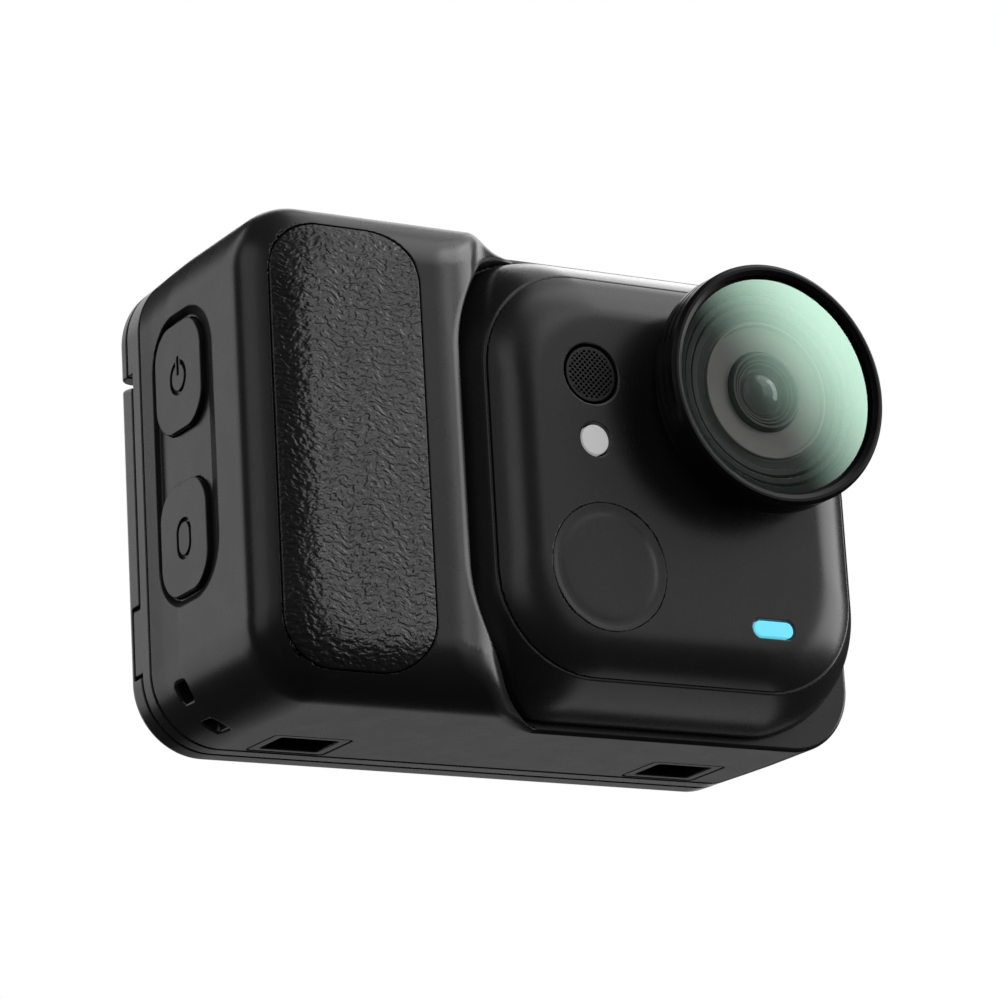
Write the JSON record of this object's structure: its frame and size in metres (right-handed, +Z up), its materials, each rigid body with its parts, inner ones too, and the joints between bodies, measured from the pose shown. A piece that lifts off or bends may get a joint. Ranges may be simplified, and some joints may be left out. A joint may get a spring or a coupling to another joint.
{
  "type": "action camera",
  "caption": "Compact action camera: square lens pod in a grip dock, with twist-off lens guard, side and top buttons, base sockets, port door and flip-up screen.",
  "frame": {"origin": "on the base, midway between the two mounting sockets", "axes": "+X from the grip side towards the lens side, +Z up, the lens faces -Y and the closed screen faces +Y"},
  "size_m": [0.07, 0.0363, 0.0479],
  "materials": {
    "shell": "matte",
    "pod_shell": "satin",
    "grip_rubber": "leather grain",
    "button": "matte",
    "guard_metal": "black anodised, fine knurl",
    "clear_glass": "green coated",
    "lens_glass": "polished",
    "lens_trim": "matte",
    "screen_glass": "polished black",
    "display": "gloss",
    "grille": "satin",
    "white_lens": "satin",
    "blue_light": "satin, glowing",
    "steel": "satin",
    "magnet": "bright",
    "contact": "bright",
    "board": "matte",
    "cell": "wrapped",
    "sensor": "polished"
  },
  "bodies": {
    "dock": {"front_shell": "shell", "rear_frame": "shell", "hinge_block_left": "shell", "hinge_block_right": "shell", "hinge_shaft": "steel", "grip_pad": "grip_rubber", "power_switch": "steel", "ring_switch": "steel", "shutter_switch": "steel", "usb_port": "steel", "main_board": "board", "dock_battery": "cell", "base_magnet": "magnet", "speaker": "grille", "socket_liner_left": "steel", "socket_liner_right": "steel", "dock_contacts": "contact", "dock_magnet_left": "magnet", "dock_magnet_right": "magnet", "screw_1": "steel", "screw_2": "steel", "screw_3": "steel", "screw_4": "steel"},
    "screen": {"hinge_arm": "shell", "screen_frame": "shell", "display_panel": "display", "screen_glass": "screen_glass"},
    "pod": {"pod_front_cover": "pod_shell", "pod_rear_shell": "pod_shell", "lens_turret": "pod_shell", "lens_trim_plate": "lens_trim", "lens_barrel": "grille", "lens_front_element": "lens_glass", "image_sensor": "sensor", "sensor_board": "board", "pod_steel_plate": "steel", "pod_battery": "cell", "pod_board": "board", "mic_grille": "grille", "mic_capsule": "steel", "status_dot": "white_lens", "light_bar": "blue_light", "pod_contacts": "contact", "pod_button_switch": "steel"},
    "lens_guard": {"lens_guard_ring": "guard_metal", "lens_guard_glass": "clear_glass"},
    "pod_button": {"pod_release_button": "pod_shell"},
    "power_key": {"power_button": "button"},
    "ring_key": {"ring_button": "button"},
    "top_key": {"top_shutter_button": "button"},
    "side_door": {"port_door": "shell"}
  },
  "joints": [
    {"name": "screen_flip", "type": "hinge", "parent": "dock", "child": "screen", "pos_m": [0, 0.00825, 0.0447], "axis": [1, 0, 0], "range_deg": [0, 180]},
    {"name": "pod_pull_out", "type": "slide", "parent": "dock", "child": "pod", "axis": [0, -1, 0], "range_m": [0, 0.03]},
    {"name": "lens_guard_twist", "type": "hinge", "parent": "pod", "child": "lens_guard", "pos_m": [0.01904, -0.0236, 0.03244], "axis": [0, -1, 0], "range_deg": [0, 40]},
    {"name": "pod_button_press", "type": "slide", "parent": "pod", "child": "pod_button", "axis": [0, 1, 0], "range_m": [0, 0.0004], "stiffness_N_per_m": 400, "springref_m": -0.0005},
    {"name": "power_press", "type": "slide", "parent": "dock", "child": "power_key", "axis": [1, 0, 0], "range_m": [0, 0.0005], "stiffness_N_per_m": 400, "springref_m": -0.0005},
    {"name": "ring_press", "type": "slide", "parent": "dock", "child": "ring_key", "axis": [1, 0, 0], "range_m": [0, 0.0005], "stiffness_N_per_m": 400, "springref_m": -0.0005},
    {"name": "shutter_press", "type": "slide", "parent": "dock", "child": "top_key", "axis": [0, 0, -1], "range_m": [0, 0.0005], "stiffness_N_per_m": 400, "springref_m": -0.0005},
    {"name": "side_door_swing", "type": "hinge", "parent": "dock", "child": "side_door", "pos_m": [0.03405, -0.0014, 0.0235], "axis": [0, 0, 1], "range_deg": [0, 95]}
  ]
}
